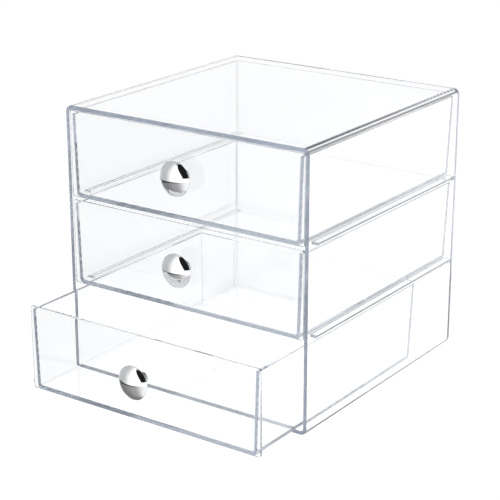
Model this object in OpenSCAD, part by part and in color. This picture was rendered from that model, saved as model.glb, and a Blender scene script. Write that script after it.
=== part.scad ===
// Clear desk organizer: an open-fronted case with moulded side ledges and
// three identical pull-out drawers, each with a round metal knob.
// Origin: centre of the case's bottom face. +Z up, +Y towards the back,
// so the drawers open towards -Y. Millimetres.

/* [Case] */
// Outer width of the case
case_w = 165; // [140:1:220]
// Outer depth of the case, front rim to back
case_d = 165; // [140:1:220]
// Clear height of one drawer bay, ledge top to ledge top
bay_pitch = 53; // [45:0.5:70]
// Thickness of the case's side and back walls
wall_t = 2.2; // [1.8:0.1:3]
// Thickness of the case's top
top_t = 2.4; // [1.8:0.1:3]
// Thickness of the case's floor
floor_t = 2.3; // [1.8:0.1:3]
// Outer corner radius of the case
case_r = 4; // [3:0.5:6]

/* [Ledges] */
// How far each ledge stands out from the side wall
ledge_w = 5; // [4:0.1:7]
// Thickness of a ledge
ledge_t = 1.8; // [1.4:0.1:3]
// Distance from the front rim to the front end of a ledge
ledge_setback = 11.3; // [6:0.1:20]

/* [Drawers] */
// Height of a drawer's front panel
panel_h = 50.9; // [40:0.1:60]
// Thickness of a drawer's front panel
panel_t = 1.8; // [1.5:0.1:3]
// Gap between front panel and case wall, each side
panel_gap = 0.5; // [0.4:0.1:1]
// Height of the tray behind the panel
tray_h = 49; // [35:0.5:50.5]
// Wall thickness of the tray
tray_wall = 2.1; // [1.6:0.1:2.1]
// Floor thickness of the tray
tray_floor = 2.4; // [1.6:0.1:3]
// How far each wall of the tray leans out from bottom to rim
tray_lean = 1.3; // [0.5:0.1:2]
// Outer radius along the tray's lower edges
tray_edge_r = 2.4; // [2:0.1:3]
// Outer radius of the tray's two back corners, at the bottom
tray_corner_r = 3.2; // [3.2:0.1:6]
// Clearance under a drawer
slide_gap = 0.3; // [0.25:0.05:0.6]
// How far the bottom drawer stands open
bottom_open = 40; // [0:1:120]

/* [Knobs] */
// Diameter of a knob's cap
knob_d = 20; // [16:0.5:26]
// Distance from the panel to the widest part of the cap
knob_stand = 6.9; // [5:0.1:10]
// Height of the cap's dome above its rim
knob_dome = 4.4; // [3:0.1:6]
// Diameter of the knob's neck
knob_neck_d = 7.6; // [7:0.1:9]
// Shank diameter of the knob screw
screw_d = 3.9; // [3.9:0.1:4.1]

/* [Hidden] */
$fn = 96;
eps = 0.01;

clear_case = [0.80, 0.86, 0.93, 0.35];
clear_tray = [0.84, 0.90, 0.95, 0.35];
chrome = [0.78, 0.79, 0.81];
steel = [0.66, 0.67, 0.69];

front_y = -case_d / 2;
back_in_y = case_d / 2 - wall_t;
side_in_x = case_w / 2 - wall_t;
case_h = floor_t + 3 * bay_pitch - 1.3 + top_t;

panel_w = 2 * (side_in_x - panel_gap);
panel_r = 1.2;
// Half width of the tray at its rim, and just above its rounded lower edges
tray_top_hw = side_in_x - 1.8;
tray_bot_hw = tray_top_hw - tray_lean;
// The same two measures towards the back
tray_top_back = back_in_y - 0.5;
tray_bot_back = tray_top_back - tray_lean;
// Axes of the two conical back corners
corner_x = tray_bot_hw - tray_corner_r;
corner_y = tray_bot_back - tray_corner_r;
knob_z = panel_h / 2;

// Height of the surface that drawer i stands over, bottom drawer = 0
function bay_z(i) = floor_t + i * bay_pitch;
function drawer_z(i) = bay_z(i) + slide_gap;

// Solid block with round long edges, a flat front end and a fully
// rounded back end. x is centred; it runs from y0 to y1 and z0 to z1.
module round_block(w, y0, y1, z0, z1, r) {
    for (k = [[w - 2 * r, y1, z0 + r, z1 - r],
              [w, y1 - r, z0 + r, z1 - r],
              [w - 2 * r, y1 - r, z0, z1]])
        translate([-k[0] / 2, y0, k[2]])
            cube([k[0], k[1] - y0, k[3] - k[2]]);
    for (sx = [-1, 1], z = [z0 + r, z1 - r]) {
        translate([sx * (w / 2 - r), y0, z])
            rotate([-90, 0, 0]) cylinder(r = r, h = y1 - r - y0);
        translate([sx * (w / 2 - r), y1 - r, z]) sphere(r = r);
    }
    for (z = [z0 + r, z1 - r])
        translate([-(w / 2 - r), y1 - r, z])
            rotate([0, 90, 0]) cylinder(r = r, h = w - 2 * r);
    for (sx = [-1, 1])
        translate([sx * (w / 2 - r), y1 - r, z0 + r])
            cylinder(r = r, h = z1 - z0 - 2 * r);
}

// One ledge on the right-hand wall, its top face at height z. Its front
// end has a rounded free corner.
module ledge(z) {
    y0 = front_y + ledge_setback;
    r = 1;
    translate([0, 0, z - ledge_t]) linear_extrude(height = ledge_t) {
        translate([side_in_x - ledge_w, y0 + r])
            square([ledge_w + wall_t / 2, back_in_y + wall_t / 2 - y0 - r]);
        translate([side_in_x - ledge_w + r, y0])
            square([ledge_w + wall_t / 2 - r, r + 1]);
        translate([side_in_x - ledge_w + r, y0 + r]) circle(r = r);
    }
}

module case_shell() {
    color(clear_case) {
        difference() {
            round_block(case_w, front_y, case_d / 2, 0, case_h, case_r);
            round_block(case_w - 2 * wall_t, front_y - 5, back_in_y,
                        floor_t, case_h - top_t, case_r - wall_t);
        }
        for (i = [1, 2], m = [0, 1])
            mirror([m, 0, 0]) ledge(bay_z(i));
    }
}

// Half profile of a leaning wall: a flat bottom at height z0, a rounded
// lower corner of radius q that ends at distance u from the profile's axis,
// then the wall, which leans out until height z1 and goes on upright by up.
module half_profile(u, z0, z1, q, up) {
    polygon([[0, z0], [u - q, z0], [u - q, z0 + q], [u, z0 + q],
             [u + tray_lean, z1], [u + tray_lean, z1 + up], [0, z1 + up]]);
    intersection() {
        translate([u - q, z0 + q]) circle(r = q);
        translate([u - q, z0 - q]) square([2 * q, 2 * q]);
    }
}

// Tray-shaped block from y0 back to its two round back corners, whose walls
// start at radius r from the corners' axes.
module tray_block(y0, r, z0, z1, q, up = 0) {
    for (m = [0, 1]) mirror([m, 0, 0]) {
        translate([0, corner_y, 0]) rotate([90, 0, 0])
            linear_extrude(height = corner_y - y0)
                half_profile(corner_x + r, z0, z1, q, up);
        translate([corner_x, corner_y, 0])
            rotate_extrude(angle = 90) half_profile(r, z0, z1, q, up);
    }
    // the back wall's stretch between the two corners
    translate([-corner_x, corner_y, 0]) rotate([90, 0, 90])
        linear_extrude(height = 2 * corner_x) half_profile(r, z0, z1, q, up);
}

// Front panel with rounded corners, lower edge at height 0
module panel() {
    translate([0, front_y + panel_t, 0]) rotate([90, 0, 0])
        linear_extrude(height = panel_t) {
            translate([-panel_w / 2 + panel_r, 0])
                square([panel_w - 2 * panel_r, panel_h]);
            translate([-panel_w / 2, panel_r])
                square([panel_w, panel_h - 2 * panel_r]);
            for (sx = [-1, 1], z = [panel_r, panel_h - panel_r])
                translate([sx * (panel_w / 2 - panel_r), z])
                    circle(r = panel_r);
        }
}

// One drawer, closed, lower face at height 0: tray and front panel are one
// moulding, with a plain hole for the knob's screw.
module drawer() {
    color(clear_tray) difference() {
        union() {
            panel();
            tray_block(front_y + panel_t / 2, tray_corner_r, 0, tray_h,
                       tray_edge_r);
        }
        tray_block(front_y + panel_t, tray_corner_r - tray_wall, tray_floor,
                   tray_h, 1, 5);
        translate([0, front_y - 1, knob_z]) rotate([-90, 0, 0])
            cylinder(d = screw_d + 0.5, h = panel_t + 2);
    }
}

module drawer_at(i, out = 0) {
    translate([0, -out, drawer_z(i)]) children();
}

// Knob, axis along -Y from the panel's front face
module knob() {
    r = knob_d / 2;
    rim = 0.6;
    // sphere through the rim circle and the dome's top
    c = r - rim * 0.35;
    big = (c * c + knob_dome * knob_dome) / (2 * knob_dome);
    color(chrome)
    translate([0, front_y, knob_z]) rotate([90, 0, 0]) difference() {
        union() {
            // dome
            intersection() {
                translate([0, 0, knob_stand + knob_dome - big])
                    sphere(r = big);
                translate([0, 0, knob_stand - 0.2])
                    cylinder(r = r, h = knob_dome + 1);
            }
            // rolled rim
            translate([0, 0, knob_stand - 0.2]) rotate_extrude()
                translate([r - rim, 0]) circle(r = rim);
            translate([0, 0, knob_stand - 0.8])
                cylinder(r = r - rim, h = 0.7);
            // hollow-cheeked underside
            translate([0, 0, knob_stand - 2.6])
                cylinder(r1 = knob_neck_d / 2 + 0.4, r2 = r - rim, h = 1.8);
            cylinder(d = knob_neck_d, h = knob_stand - 1);
            // foot against the panel
            cylinder(d = knob_neck_d + 1.8, h = 0.7);
            translate([0, 0, 0.7])
                cylinder(r1 = knob_neck_d / 2 + 0.9,
                         r2 = knob_neck_d / 2, h = 0.9);
        }
        translate([0, 0, -1]) cylinder(d = screw_d + 0.1, h = 8);
    }
}

// Pan-head screw, put in from inside the drawer
module knob_screw() {
    head_r = 3.6;
    head_h = 2.3;
    color(steel)
    translate([0, front_y + panel_t, knob_z]) rotate([90, 0, 0]) difference() {
        union() {
            translate([0, 0, -head_h]) intersection() {
                cylinder(r = head_r, h = head_h);
                translate([0, 0, 5.2]) sphere(r = 5.2);
            }
            cylinder(d = screw_d, h = panel_t + 6);
            translate([0, 0, panel_t + 6 - eps])
                cylinder(d1 = screw_d, d2 = screw_d - 1.2, h = 0.6);
        }
        // cross recess
        for (a = [0, 90]) rotate([0, 0, a])
            translate([-1.9, -0.45, -head_h - 1])
                cube([3.8, 0.9, 2.3]);
    }
}

module top_drawer()    { drawer_at(2) drawer(); }
module middle_drawer() { drawer_at(1) drawer(); }
module bottom_drawer() { drawer_at(0, bottom_open) drawer(); }
module top_knob()      { drawer_at(2) knob(); }
module middle_knob()   { drawer_at(1) knob(); }
module bottom_knob()   { drawer_at(0, bottom_open) knob(); }
module top_knob_screw()    { drawer_at(2) knob_screw(); }
module middle_knob_screw() { drawer_at(1) knob_screw(); }
module bottom_knob_screw() { drawer_at(0, bottom_open) knob_screw(); }

case_shell();
top_drawer();
middle_drawer();
bottom_drawer();
top_knob();
middle_knob();
bottom_knob();
top_knob_screw();
middle_knob_screw();
bottom_knob_screw();
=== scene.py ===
import math
import bmesh
import bpy
from mathutils import Matrix, Vector


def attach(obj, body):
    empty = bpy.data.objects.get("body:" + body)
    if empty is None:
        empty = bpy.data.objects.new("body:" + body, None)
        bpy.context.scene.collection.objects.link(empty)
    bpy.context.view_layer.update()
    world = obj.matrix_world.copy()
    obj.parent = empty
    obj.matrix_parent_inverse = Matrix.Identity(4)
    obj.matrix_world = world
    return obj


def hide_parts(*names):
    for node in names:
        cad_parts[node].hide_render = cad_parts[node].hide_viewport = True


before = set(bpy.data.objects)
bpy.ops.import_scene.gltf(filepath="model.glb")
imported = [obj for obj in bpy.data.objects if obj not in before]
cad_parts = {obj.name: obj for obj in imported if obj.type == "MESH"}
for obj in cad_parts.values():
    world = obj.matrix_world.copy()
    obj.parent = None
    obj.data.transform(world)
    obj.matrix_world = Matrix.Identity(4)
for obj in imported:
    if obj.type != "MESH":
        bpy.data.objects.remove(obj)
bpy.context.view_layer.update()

MM = 0.001


# ---------------------------------------------------------------- sizes, mm
W, D, H = 165.0, 165.0, 162.4
WALL, TOP, FLOOR = 2.2, 2.4, 2.3
CASE_R = 4.0
BACK_R, BACK_RI = 2.5, 0.6             # radii round the back, outside and in
PITCH = 53.0
LEDGE_W, LEDGE_T, LEDGE_SET = 5.0, 1.8, 11.3
LEDGE_FILLET, LEDGE_NOSE, LEDGE_CORNER = 0.35, 0.4, 1.0   # root, lower free edge, front corner
PANEL_W, PANEL_H, PANEL_T, PANEL_R = 159.6, 50.9, 1.8, 1.2
TRAY_H, TRAY_WALL, TRAY_FLOOR, LEAN = 49.0, 2.1, 2.4, 1.3
TRAY_X, TRAY_Y = 77.2, 78.5           # walls' furthest points, at the bottom
CORNER_R, EDGE_R, INNER_R = 2.0, 2.4, 1.0
KNOB_Z = 25.45
FRONT = -D / 2
SIDE_IN = W / 2 - WALL
BACK_IN = D / 2 - WALL
SOFT = 0.32                            # radius of the moulded edges
DRAWERS = {                            # name: lower face's height, pulled out
    "top": (108.6, 0.0), "middle": (55.6, 0.0), "bottom": (2.6, 40.0)}


# ------------------------------------------------------------- mesh helpers
def arc(n, a0, a1):
    return [math.radians(a0 + (a1 - a0) * i / n) for i in range(n + 1)]


def mesh_object(name, bm, merge=1e-7):
    bmesh.ops.remove_doubles(bm, verts=bm.verts, dist=merge)
    bmesh.ops.dissolve_degenerate(bm, dist=1e-7, edges=bm.edges)
    bmesh.ops.recalc_face_normals(bm, faces=bm.faces)
    me = bpy.data.meshes.new(name)
    bm.to_mesh(me)
    bm.free()
    ob = bpy.data.objects.new(name, me)
    bpy.context.scene.collection.objects.link(ob)
    return ob


def rings_to_bm(rings, close=True):
    """Quads between closed rings of points in mm, with a face at each end."""
    bm = bmesh.new()
    rows = [[bm.verts.new(Vector(p) * MM) for p in ring] for ring in rings]
    n = len(rows[0])
    for a, b in zip(rows, rows[1:]):
        for i in range(n):
            j = (i + 1) % n
            bm.faces.new((a[i], a[j], b[j], b[i]))
    if close:
        bm.faces.new(rows[0][::-1])
        bm.faces.new(rows[-1])
    return bm


def round_rect(hx, z0, z1, r, n=12):
    """Rounded rectangle as (x, z) points, anticlockwise from lower right."""
    pts = []
    for cx, cz, a0 in ((hx - r, z0 + r, -90), (hx - r, z1 - r, 0),
                       (-hx + r, z1 - r, 90), (-hx + r, z0 + r, 180)):
        for a in arc(n, a0, a0 + 90):
            pts.append((cx + r * math.cos(a), cz + r * math.sin(a)))
    return pts


def boolean(ob, tool, op):
    """ob with tool joined to it or cut from it, and tool gone."""
    m = ob.modifiers.new("b", "BOOLEAN")
    m.object, m.operation, m.solver = tool, op, "EXACT"
    dg = bpy.context.evaluated_depsgraph_get()
    me = bpy.data.meshes.new_from_object(ob.evaluated_get(dg))
    ob.modifiers.clear()
    old = ob.data
    ob.data = me
    me.name = old.name
    bpy.data.meshes.remove(old)
    bpy.data.objects.remove(tool)
    return ob


def finish_mesh(ob, shift=(0, 0, 0), angle=28):
    """Smooth across the small steps of a curve, sharp at real edges, and flat
    faces kept flat up to where a curve starts. The point's own place before
    the shift, in mm, is kept for the material."""
    bm = bmesh.new()
    bm.from_mesh(ob.data)
    bmesh.ops.remove_doubles(bm, verts=bm.verts, dist=2e-7)
    bmesh.ops.dissolve_degenerate(bm, dist=2e-7, edges=bm.edges)
    bm.to_mesh(ob.data)
    bad = sum(1 for e in bm.edges if not e.is_manifold)
    bm.free()
    me = ob.data
    at = me.attributes.new("local_mm", "FLOAT_VECTOR", "POINT")
    at.data.foreach_set("vector", [c / MM for v in me.vertices for c in v.co])
    me.transform(Matrix.Translation(Vector(shift) * MM))
    me.polygons.foreach_set("use_smooth", [True] * len(me.polygons))
    me.set_sharp_from_angle(angle=math.radians(angle))
    w = ob.modifiers.new("even", "WEIGHTED_NORMAL")
    w.mode, w.weight, w.keep_sharp = "FACE_AREA", 100, True
    print("mesh", ob.name, len(me.polygons), "faces, open edges", bad)
    return ob


# ------------------------------------------------------------------ the case
def case_shell():
    def ring(inset, y, inner):
        hx = (SIDE_IN if inner else W / 2) - inset
        z0 = (FLOOR if inner else 0) + inset
        z1 = (H - TOP if inner else H) - inset
        r = max((CASE_R - WALL if inner else CASE_R) - inset, 0.0)
        return [(x, y, z) for x, z in round_rect(hx, z0, z1, r)]
    rings = []
    ri = BACK_RI
    for a in arc(8, 0, 90):
        rings.append(ring(ri * (1 - math.sin(a)), BACK_IN - ri + ri * math.cos(a), True))
    for a in arc(4, 0, 90):
        rings.append(ring(-SOFT * (1 - math.cos(a)), FRONT + SOFT - SOFT * math.sin(a), True))
    for a in arc(4, 90, 0):
        rings.append(ring(SOFT * (1 - math.cos(a)), FRONT + SOFT - SOFT * math.sin(a), False))
    for a in arc(14, 90, 0):
        rings.append(ring(BACK_R * (1 - math.sin(a)), D / 2 - BACK_R + BACK_R * math.cos(a), False))
    ob = mesh_object("case_moulding", rings_to_bm(rings))
    for z in (FLOOR + PITCH, FLOOR + 2 * PITCH):
        for side in (1, -1):
            ob = boolean(ob, ledge(z, side), "UNION")
    return finish_mesh(ob)


def ledge(z, side):
    """A bar along the side wall, bedded in it, with a rounded front corner,
    soft edges, and a moulded fillet above and below where it joins the wall."""
    y0, y1, r, e = FRONT + LEDGE_SET, BACK_IN + WALL / 2, LEDGE_CORNER, 0.3
    bed = SIDE_IN + WALL / 2
    rings = []
    steps = [e * (1 - math.cos(a)) for a in arc(4, 0, 90)]
    steps += [e + (r - e) * (i / 8) ** 1.5 for i in range(1, 9)] + [y1 - y0]
    for t in steps:
        inset = e - math.sqrt(max(0.0, e * e - (e - min(t, e)) ** 2))
        corner = r - math.sqrt(max(0.0, r * r - (r - min(t, r)) ** 2))
        f = max(0.02, LEDGE_FILLET * min(1.0, t / r))
        xi = SIDE_IN - LEDGE_W + min(corner, r * 0.98) + inset * 0.2
        zb, zt, q = z - LEDGE_T + inset, z - inset, max(e - inset, 0.01)
        sect = [(bed, zb - f), (SIDE_IN, zb - f)]
        sect += [(SIDE_IN - f + f * math.cos(a), zb - f + f * math.sin(a)) for a in arc(8, 0, 90)]
        nose = max(LEDGE_NOSE - inset, 0.02)
        sect += [(xi + nose - nose * math.sin(a), zb + nose - nose * math.cos(a)) for a in arc(12, 0, 90)]
        sect += [(xi + q - q * math.cos(a), zt - q + q * math.sin(a)) for a in arc(4, 0, 90)]
        sect += [(SIDE_IN - f + f * math.sin(a), zt + f - f * math.cos(a)) for a in arc(8, 0, 90)]
        sect += [(bed, zt + f)]
        rings.append([(side * x, y0 + t, zz) for x, zz in sect])
    return mesh_object("ledge", rings_to_bm(rings))


# --------------------------------------------------------------- the drawers
def tray_strip(grow, rc, z, yf, n=10):
    """Plan outline of the tray at one level, open at the front: from the front
    left, round the two back corners, to the front right. grow is how far the
    outline stands out from the walls' feet, and rc its corner radius."""
    hx, hy, rc = TRAY_X + grow, TRAY_Y + grow, max(rc, 0.05)
    cx, cy = hx - rc, hy - rc
    pts = [(-hx, yf, z), (-hx, -20.0, z)]
    pts += [(-cx + rc * math.cos(a), cy + rc * math.sin(a), z) for a in arc(n, 180, 90)]
    pts += [(cx + rc * math.cos(a), cy + rc * math.sin(a), z) for a in arc(n, 90, 0)]
    pts += [(hx, -20.0, z), (hx, yf, z)]
    return pts


def drawer(name, z0, out):
    """Tray and front panel as one clear moulding."""
    yf = FRONT + PANEL_T / 2
    slope = LEAN / (TRAY_H - EDGE_R)
    inner_r = 0.7
    strips = []
    for a in arc(6, 90, 0):            # inner floor edge and lower fillet
        i = INNER_R * (1 - math.cos(a))
        strips.append(tray_strip(-TRAY_WALL - i, inner_r - i,
                                 TRAY_FLOOR + INNER_R - INNER_R * math.sin(a), yf))
    for a in arc(4, 0, 90):
        i = SOFT * (1 - math.cos(a)) - slope * SOFT
        strips.append(tray_strip(LEAN - TRAY_WALL + i, inner_r + i,
                                 TRAY_H - SOFT + SOFT * math.sin(a), yf))
    for a in arc(4, 90, 0):
        i = SOFT * (1 - math.cos(a)) + slope * SOFT
        strips.append(tray_strip(LEAN - i, CORNER_R - i,
                                 TRAY_H - SOFT + SOFT * math.sin(a), yf))
    for a in arc(10, 0, 90):
        i = EDGE_R * (1 - math.cos(a))
        strips.append(tray_strip(-i, CORNER_R - i, EDGE_R - EDGE_R * math.sin(a), yf))
    bm = bmesh.new()
    rows = [[bm.verts.new(Vector(p) * MM) for p in s] for s in strips]
    for a, b in zip(rows, rows[1:]):
        for i in range(len(a) - 1):
            bm.faces.new((a[i], a[i + 1], b[i + 1], b[i]))
    bm.faces.new(rows[0][::-1])
    bm.faces.new(rows[-1])
    bm.faces.new([r[0] for r in rows] + [r[-1] for r in rows[::-1]])
    ob = mesh_object(name, bm)

    e = SOFT
    rings = []
    for a in arc(5, 0, 90):
        i = e * (1 - math.sin(a))
        rings.append([(x, FRONT + e - e * math.cos(a), z) for x, z in
                      round_rect(PANEL_W / 2 - i, i, PANEL_H - i, PANEL_R - i, 8)])
    for a in arc(5, 90, 0):
        i = e * (1 - math.sin(a))
        rings.append([(x, FRONT + PANEL_T - e + e * math.cos(a), z) for x, z in
                      round_rect(PANEL_W / 2 - i, i, PANEL_H - i, PANEL_R - i, 8)])
    plate = mesh_object("plate", rings_to_bm(rings))
    ob = boolean(plate, ob, "UNION")
    ob.name = ob.data.name = name
    hole = rings_to_bm([[(2.2 * math.cos(a), y, KNOB_Z + 2.2 * math.sin(a)) for a in arc(47, 0, 360 * 47 / 48)]
                        for y in (FRONT - 2, FRONT + PANEL_T + 2)])
    ob = boolean(ob, mesh_object("hole", hole), "DIFFERENCE")
    return finish_mesh(ob, (0, -out, z0))


# ----------------------------------------------------------------- the knobs
def lathe(name, profile, steps=96):
    """Turned body: profile of (distance in front of the panel, radius)."""
    bm = bmesh.new()
    rows = []
    for s, r in profile:
        if r <= 1e-9:
            rows.append([bm.verts.new((0, -s * MM, 0))])
        else:
            rows.append([bm.verts.new((r * MM * math.cos(2 * math.pi * k / steps), -s * MM,
                                       r * MM * math.sin(2 * math.pi * k / steps)))
                         for k in range(steps)])
    for a, b in zip(rows, rows[1:]):
        for k in range(steps):
            j = (k + 1) % steps
            if len(a) == 1:
                bm.faces.new((a[0], b[j], b[k]))
            elif len(b) == 1:
                bm.faces.new((a[k], a[j], b[0]))
            else:
                bm.faces.new((a[k], a[j], b[j], b[k]))
    if len(rows[0]) > 1:
        bm.faces.new(rows[0])
    if len(rows[-1]) > 1:
        bm.faces.new(rows[-1][::-1])
    return mesh_object(name, bm)


def knob(name, z0, out):
    r, stand, dome, rim = 10.0, 6.9, 4.4, 0.35
    c = r - rim * 0.35
    big = (c * c + dome * dome) / (2 * dome)
    zc = stand + dome - big
    prof = [(0.04, 1.95), (0.04, 4.45), (0.3, 4.7), (0.7, 4.7), (0.95, 4.35), (1.5, 3.9), (2.2, 3.8),
            (3.2, 3.8), (3.9, 4.0), (4.3, 4.3), (5.0, 6.2), (5.6, 8.0), (6.0, 9.2)]
    for a in arc(12, -110, 62):
        prof.append((stand - 0.2 + rim * math.sin(a), r - rim + rim * math.cos(a)))
    t0 = math.asin(min(1.0, (r - rim * 0.42) / big))
    for i in range(1, 25):
        t = t0 * (1 - i / 24)
        prof.append((zc + big * math.cos(t), big * math.sin(t)))
    ob = lathe(name, prof, 128)
    return finish_mesh(ob, (0, FRONT - out, z0 + KNOB_Z), 40)


def screw(name, z0, out):
    """Pan-head screw put in from inside: a cross recess in a domed head."""
    hr, hh, big = 3.6, 2.3, 5.2
    prof = []
    # from the head's top (inside the drawer) towards the panel; s is measured
    # from the panel's inner face towards the front
    for i in range(11):
        rr = hr * i / 10 * 0.9
        prof.append((-hh + big - math.sqrt(big * big - rr * rr), rr))
    for a in arc(5, 60, 0):
        prof.append((-0.95 - 0.36 * math.sin(a), hr - 0.36 + 0.36 * math.cos(a)))
    prof += [(-0.12, hr), (-0.05, hr - 0.08), (-0.05, 1.95), (PANEL_T + 5.6, 1.95),
             (PANEL_T + 6.4, 1.4), (PANEL_T + 6.4, 0.0)]
    ob = lathe(name, prof, 64)
    for hw, hl in ((1.9, 0.42), (0.42, 1.9)):
        top = [(-hw, -hl), (hw, -hl), (hw, hl), (-hw, hl)]
        low = [(x * (0.62 if hw > hl else 0.8), z * (0.8 if hw > hl else 0.62)) for x, z in top]
        rings = [[(x, 3.5, z) for x, z in top], [(x, 1.15, z) for x, z in low]]
        ob = boolean(ob, mesh_object("slot", rings_to_bm(rings)), "DIFFERENCE")
    return finish_mesh(ob, (0, FRONT + PANEL_T - out, z0 + KNOB_Z), 35)


# ----------------------------------------------------------------- materials
class Term:
    """A value in a node tree, so that a formula reads as one."""

    def __init__(self, nt, out):
        self.nt, self.out = nt, out

    def op(self, kind, *others, clamp=False):
        n = self.nt.nodes.new("ShaderNodeMath")
        n.operation, n.use_clamp = kind, clamp
        for i, v in enumerate((self, *others)):
            if isinstance(v, Term):
                self.nt.links.new(v.out, n.inputs[i])
            else:
                n.inputs[i].default_value = v
        return Term(self.nt, n.outputs[0])

    def __add__(self, o): return self.op("ADD", o)
    def __sub__(self, o): return self.op("SUBTRACT", o)
    def __mul__(self, o): return self.op("MULTIPLY", o)
    __rmul__ = __mul__
    __radd__ = __add__
    def inv(self): return self.op("MULTIPLY_ADD", -1.0, 1.0)
    def abs(self): return self.op("ABSOLUTE")
    def max(self, o): return self.op("MAXIMUM", o)
    def min(self, o): return self.op("MINIMUM", o)

    def step(self, a, b):
        """0 below a, 1 above b, smooth between."""
        n = self.nt.nodes.new("ShaderNodeMapRange")
        n.interpolation_type = "SMOOTHSTEP"
        n.inputs["From Min"].default_value = a
        n.inputs["From Max"].default_value = b
        self.nt.links.new(self.out, n.inputs["Value"])
        return Term(self.nt, n.outputs[0])

    def band(self, a, b, soft):
        return self.step(a - soft / 2, a + soft / 2) * self.step(b - soft / 2, b + soft / 2).inv()


def node_tree(name):
    m = bpy.data.materials.new(name)
    m.use_nodes = True
    nt = m.node_tree
    nt.nodes.clear()
    return m, nt


def parts_of(nt, socket):
    s = nt.nodes.new("ShaderNodeSeparateXYZ")
    nt.links.new(socket, s.inputs[0])
    return [Term(nt, s.outputs[i]) for i in range(3)]


def mix_colour(nt, fac, a, b):
    n = nt.nodes.new("ShaderNodeMix")
    n.data_type = "RGBA"
    nt.links.new(fac.out, n.inputs["Factor"])
    for sock, v in ((n.inputs[6], a), (n.inputs[7], b)):
        if isinstance(v, tuple):
            sock.default_value = (*v, 1)
        else:
            nt.links.new(v, sock)
    return n.outputs[2]


def clear_plastic(name, tint, density, edge_mask, edge_colour, edge_rough, shade_line_mask, shade_line_colour):
    """Clear moulding: polished faces with the faintest cloudiness, its body
    colour by depth, a deeper satin tint where a wall is seen end-on, painted
    shade as dark lines along the tight corners, and lamps let through to what
    stands behind."""
    m, nt = node_tree(name)
    N, L = nt.nodes.new, nt.links.new
    out = N("ShaderNodeOutputMaterial")
    p = N("ShaderNodeBsdfPrincipled")
    p.inputs["IOR"].default_value = 1.5
    at = N("ShaderNodeAttribute")
    at.attribute_name = "local_mm"
    x, y, z = parts_of(nt, at.outputs["Vector"])
    geo = N("ShaderNodeNewGeometry")
    nx, ny, nz = parts_of(nt, geo.outputs["Normal"])
    edge = edge_mask(x, y, z, ny)
    cloud = N("ShaderNodeTexNoise")
    cloud.inputs["Scale"].default_value = 0.02
    cloud.inputs["Detail"].default_value = 2.0
    L(at.outputs["Vector"], cloud.inputs["Vector"])
    r1 = N("ShaderNodeValToRGB")
    r1.color_ramp.elements[0].position = 0.3
    r1.color_ramp.elements[0].color = (0.985, 0.990, 0.995, 1)
    r1.color_ramp.elements[1].position = 0.7
    r1.color_ramp.elements[1].color = (0.996, 0.998, 1.0, 1)
    L(cloud.outputs["Fac"], r1.inputs["Fac"])
    # painted shade: dark lines along the tight corners, in the line colour, with the clearness cut where they
    # lie
    line = shade_line_mask(x, y, z)
    plain = mix_colour(nt, line, r1.outputs["Color"], shade_line_colour)
    L((line * -0.85 + 1.0).out, p.inputs["Transmission Weight"])
    L(mix_colour(nt, edge, plain, edge_colour), p.inputs["Base Color"])
    grain = N("ShaderNodeTexNoise")
    grain.inputs["Scale"].default_value = 1.7
    grain.inputs["Detail"].default_value = 3.0
    L(at.outputs["Vector"], grain.inputs["Vector"])
    g = Term(nt, grain.outputs["Fac"])
    L((edge * (g * (edge_rough * 0.5) + edge_rough * 0.75)).out, p.inputs["Roughness"])
    vol = N("ShaderNodeVolumeAbsorption")
    vol.inputs["Color"].default_value = (*tint, 1)
    vol.inputs["Density"].default_value = density
    L(vol.outputs["Volume"], out.inputs["Volume"])
    lp = N("ShaderNodeLightPath")
    tr = N("ShaderNodeBsdfTransparent")
    tr.inputs["Color"].default_value = (1.0, 1.0, 1.0, 1)
    mix = N("ShaderNodeMixShader")
    L(lp.outputs["Is Shadow Ray"], mix.inputs["Fac"])
    L(p.outputs["BSDF"], mix.inputs[1])
    L(tr.outputs["BSDF"], mix.inputs[2])
    L(mix.outputs["Shader"], out.inputs["Surface"])
    return m


def case_edge(x, y, z, ny):
    """The rim round the open front, and the ledges' front ends."""
    facing = ny.step(-0.75, -0.25).inv()
    return facing * y.step(-62.0, -60.0).inv()


def near(a, b, r):
    """1 within r of the line where a and b are both zero."""
    return (a * a + b * b).op("SQRT").step(r * 0.8, r * 1.2).inv()


def case_shade_lines(x, y, z):
    """Painted shade: dark lines along the ledges' lower free edges, the long
    corners inside under the top, and the upright corners at the back."""
    side = x.abs()
    lower = (z - (FLOOR + PITCH - LEDGE_T + 0.12)).abs().min((z - (FLOOR + 2 * PITCH - LEDGE_T + 0.12)).abs())
    ledges = near(side - (SIDE_IN - LEDGE_W + 0.12), lower, 0.26) * y.step(FRONT + LEDGE_SET + 0.6, FRONT + LEDGE_SET + 1.4)
    r = CASE_R - WALL
    under = near(side - (SIDE_IN - r * 0.29), z - (H - TOP - r * 0.29), 0.45) * UNDER
    back = near(side - (W / 2 - BACK_R * 0.29), y - (D / 2 - BACK_R * 0.29), 0.5) * UPRIGHT
    return ledges.max(under).max(back)


def tray_shade_lines(x, y, z):
    """Painted shade: dark lines along the tray's upright back corners, its lower edges, and the panel's top
    edge.
    """
    lean = z * (LEAN / (TRAY_H - EDGE_R))
    u, v = x.abs() - lean, y - lean
    up = near(u - (TRAY_X - CORNER_R * 0.29), v - (TRAY_Y - CORNER_R * 0.29), 0.5) * TRAY_UPRIGHT
    low = near(u - (TRAY_X - EDGE_R * 0.29), z - EDGE_R * 0.29, 0.4) * TRAY_LOW
    low = low * y.step(FRONT + PANEL_T, FRONT + PANEL_T + 1.0)
    rim = z.step(PANEL_H - 0.45, PANEL_H - 0.25) * PANEL_RIM
    return up.max(low).max(rim)


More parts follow.
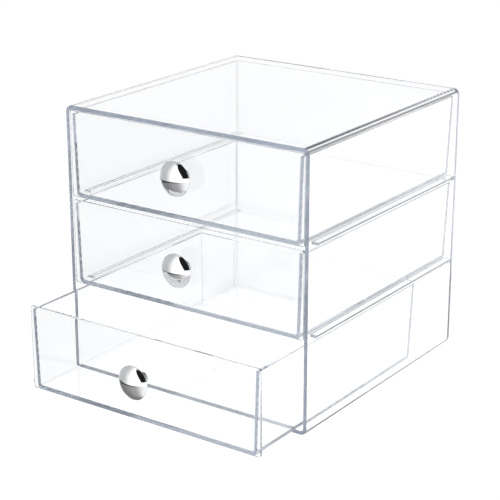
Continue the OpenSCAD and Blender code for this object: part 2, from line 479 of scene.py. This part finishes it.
def tray_edge(x, y, z, ny):
    """Where the tray's walls and floor meet the back of the front panel, seen
    through its face as a U."""
    u = x.abs() - z * (LEAN / (TRAY_H - EDGE_R))
    bx = (u - (TRAY_X - EDGE_R)).max(0.0)
    bz = (z * -1.0 + EDGE_R).max(0.0)
    outer = (bx * bx + bz * bz).op("SQRT")
    cx = (u - (TRAY_X - TRAY_WALL - INNER_R)).max(0.0)
    cz = (z * -1.0 + (TRAY_FLOOR + INNER_R)).max(0.0)
    inner = (cx * cx + cz * cz).op("SQRT")
    u_band = outer.step(EDGE_R - 0.1, EDGE_R + 0.1).inv() * inner.step(INNER_R - 0.1, INNER_R + 0.1)
    u_band = u_band * z.step(TRAY_H - 0.2, TRAY_H).inv()
    front = y.step(FRONT + 0.1, FRONT + 0.2).inv() * ny.step(-0.95, -0.9).inv()
    return u_band * front


def metal(name, base, rough, scale):
    m, nt = node_tree(name)
    N, L = nt.nodes.new, nt.links.new
    out = N("ShaderNodeOutputMaterial")
    p = N("ShaderNodeBsdfPrincipled")
    p.inputs["Metallic"].default_value = 1.0
    at = N("ShaderNodeAttribute")
    at.attribute_name = "local_mm"
    n1 = N("ShaderNodeTexNoise")
    n1.inputs["Scale"].default_value = scale
    n1.inputs["Detail"].default_value = 4.0
    r1 = N("ShaderNodeValToRGB")
    r1.color_ramp.elements[0].color = (*[c * 0.96 for c in base], 1)
    r1.color_ramp.elements[1].color = (*base, 1)
    mr = N("ShaderNodeMapRange")
    mr.inputs["To Min"].default_value = rough * 0.5
    mr.inputs["To Max"].default_value = rough * 1.5
    L(at.outputs["Vector"], n1.inputs["Vector"])
    L(n1.outputs["Fac"], r1.inputs["Fac"])
    L(n1.outputs["Fac"], mr.inputs["Value"])
    L(r1.outputs["Color"], p.inputs["Base Color"])
    L(mr.outputs["Result"], p.inputs["Roughness"])
    L(p.outputs["BSDF"], out.inputs["Surface"])
    return m


# how strongly each corner's painted shade line shows
UNDER, UPRIGHT, TRAY_UPRIGHT, TRAY_LOW, PANEL_RIM = 0.75, 0.4, 0.35, 0.3, 0.12

# the last two arguments: where the painted shade lines go, and their dark colour
M_CASE = clear_plastic("clear_case", (0.0, 0.10, 0.28), 3.1, case_edge, (0.74, 0.79, 0.88), 0.16,
                       case_shade_lines, (0.03, 0.03, 0.035))
M_TRAY = clear_plastic("clear_drawer", (0.0, 0.12, 0.30), 2.6, tray_edge, (0.88, 0.92, 0.96), 0.20,
                       tray_shade_lines, (0.06, 0.06, 0.065))
M_CHROME = metal("knob_chrome", (0.62, 0.625, 0.635), 0.012, 0.9)
M_STEEL = metal("screw_steel", (0.60, 0.61, 0.63), 0.22, 1.5)


def piece(ob, mat, body, node):
    ob.data.materials.clear()
    ob.data.materials.append(mat)
    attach(ob, body)
    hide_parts(node)
    return ob


piece(case_shell(), M_CASE, "case", "case_shell")
for n, (z0, out) in DRAWERS.items():
    piece(drawer(n + "_tray", z0, out), M_TRAY, n + "_drawer_body", n + "_drawer")
    piece(knob(n + "_turned_knob", z0, out), M_CHROME, n + "_drawer_body", n + "_knob")
    piece(screw(n + "_pan_screw", z0, out), M_STEEL, n + "_drawer_body", n + "_knob_screw")


# -------------------------------------------------------------------- studio
FLOOR_GLOW, FLOOR_SEEN = 0.62, 0.66      # as it lights the object, and as it is seen


def floor():
    bm = bmesh.new()
    s = 6.0
    v = [bm.verts.new((x * s, y * s, -0.0003)) for x, y in ((-1, -1), (1, -1), (1, 1), (-1, 1))]
    bm.faces.new(v)
    ob = mesh_object("studio_floor", bm)
    m, nt = node_tree("floor_white")
    N, L = nt.nodes.new, nt.links.new
    out = N("ShaderNodeOutputMaterial")
    p = N("ShaderNodeBsdfPrincipled")
    tc = N("ShaderNodeTexCoord")
    n1 = N("ShaderNodeTexNoise")
    n1.inputs["Scale"].default_value = 3.0
    L(tc.outputs["Object"], n1.inputs["Vector"])
    r1 = N("ShaderNodeValToRGB")
    r1.color_ramp.elements[0].color = (0.92, 0.92, 0.92, 1)
    r1.color_ramp.elements[1].color = (0.94, 0.94, 0.94, 1)
    L(n1.outputs["Fac"], r1.inputs["Fac"])
    L(r1.outputs["Color"], p.inputs["Base Color"])
    lp = N("ShaderNodeLightPath")
    seen = Term(nt, lp.outputs["Is Camera Ray"])
    p.inputs["Roughness"].default_value = 0.9
    p.inputs["Specular IOR Level"].default_value = 0.1
    p.inputs["Emission Color"].default_value = (1.0, 1.0, 1.0, 1)
    L((seen * (FLOOR_SEEN - FLOOR_GLOW) + FLOOR_GLOW).out, p.inputs["Emission Strength"])
    L(p.outputs["BSDF"], out.inputs["Surface"])
    m.cycles.emission_sampling = "NONE"
    ob.data.materials.append(m)
    ob.visible_glossy = False
    return ob


floor()


LEFT_LIGHT = 0.85
SWEEP_TOP = (30, 40)


def studio_world():
    """A soft box in front, a paler wall on the left, an unlit side on the
    right and an unlit ceiling, and a bright sweep behind; polished metal also
    sees the table and its edge. The picture's own background is plain white."""
    world = bpy.data.worlds.new("studio")
    bpy.context.scene.world = world
    world.use_nodes = True
    nt = world.node_tree
    nt.nodes.clear()
    N, L = nt.nodes.new, nt.links.new
    wo = N("ShaderNodeOutputWorld")
    tc = N("ShaderNodeTexCoord")
    x, y, z = parts_of(nt, tc.outputs["Generated"])
    el = z.op("ARCSINE") * (180 / math.pi)
    az = x.op("ARCTAN2", y * -1.0) * (180 / math.pi)   # 0 in front, + to the right
    back = az.step(137, 143).max((az * -1.0).step(118, 132))
    lean = az + el * 0.4 + el * el * 0.009            # the box's slanting end
    box_end = lean.step(29, 32)
    box_start = az.step(-66, -14)
    left = box_start.inv() * back.inv() * az.step(-108, -96)
    front = box_start * box_end.inv()
    right = box_end * back.inv()
    wall = el.step(56, 60).inv()
    sweep = back * (el.step(*SWEEP_TOP).inv() * 1.0 + 0.05)
    far_right = az.step(72, 105) * el.step(22, 34).inv() * 0.75 + 0.02
    up = sweep + (left * LEFT_LIGHT + front * 1.9) * box_end.inv() * wall + right * far_right
    up = up * (el.step(50, 62).inv() * 0.9 + 0.1)
    beyond = el.step(-20, -18.5)
    edge = el.band(-24.0, -20.5, 1.0) * az.step(-20, 20).inv()
    table = 0.30 + az.step(-80, 0) * 0.28 + az.step(-5, 50) * 0.95
    low = beyond * (box_start * 1.1 + 0.8) + beyond.inv() * table
    low = low * (edge * -0.95 + 1.0)
    above = el.step(-1.0, 1.0)
    value = up * above + low * above.inv()
    lp = N("ShaderNodeLightPath")
    cam_ray = Term(nt, lp.outputs["Is Camera Ray"])
    value = value * cam_ray.inv() + cam_ray * 1.1
    bg = N("ShaderNodeBackground")
    bg.inputs["Color"].default_value = (1.0, 1.0, 1.0, 1)
    L(value.out, bg.inputs["Strength"])
    L(bg.outputs["Background"], wo.inputs["Surface"])


studio_world()

# -------------------------------------------------------------------- camera
AZ, EL = math.radians(34.956), math.radians(19.238)
BACK = Vector((math.sin(AZ) * math.cos(EL), -math.cos(AZ) * math.cos(EL), math.sin(EL)))
cam_data = bpy.data.cameras.new("camera")
cam = bpy.data.objects.new("camera", cam_data)
bpy.context.scene.collection.objects.link(cam)
cam_data.sensor_width = 36.0
cam_data.lens = 1580.62 * 36 / 500
cam.location = Vector((45.201, -82.5, 100.417)) * MM + BACK * 0.84915
cam.rotation_mode = "QUATERNION"
cam.rotation_quaternion = (-BACK).to_track_quat("-Z", "Y")
cam_data.clip_start, cam_data.clip_end = 0.01, 50
bpy.context.scene.camera = cam

sc = bpy.context.scene
sc.view_settings.view_transform = "Standard"
sc.view_settings.look = "None"
sc.cycles.max_bounces = 96
sc.cycles.transmission_bounces = 96
sc.cycles.glossy_bounces = 96
sc.cycles.transparent_max_bounces = 64
sc.cycles.diffuse_bounces = 4
sc.cycles.blur_glossy = 0.0
sc.cycles.sample_clamp_indirect = 4.0
sc.cycles.caustics_reflective = True
sc.cycles.caustics_refractive = True
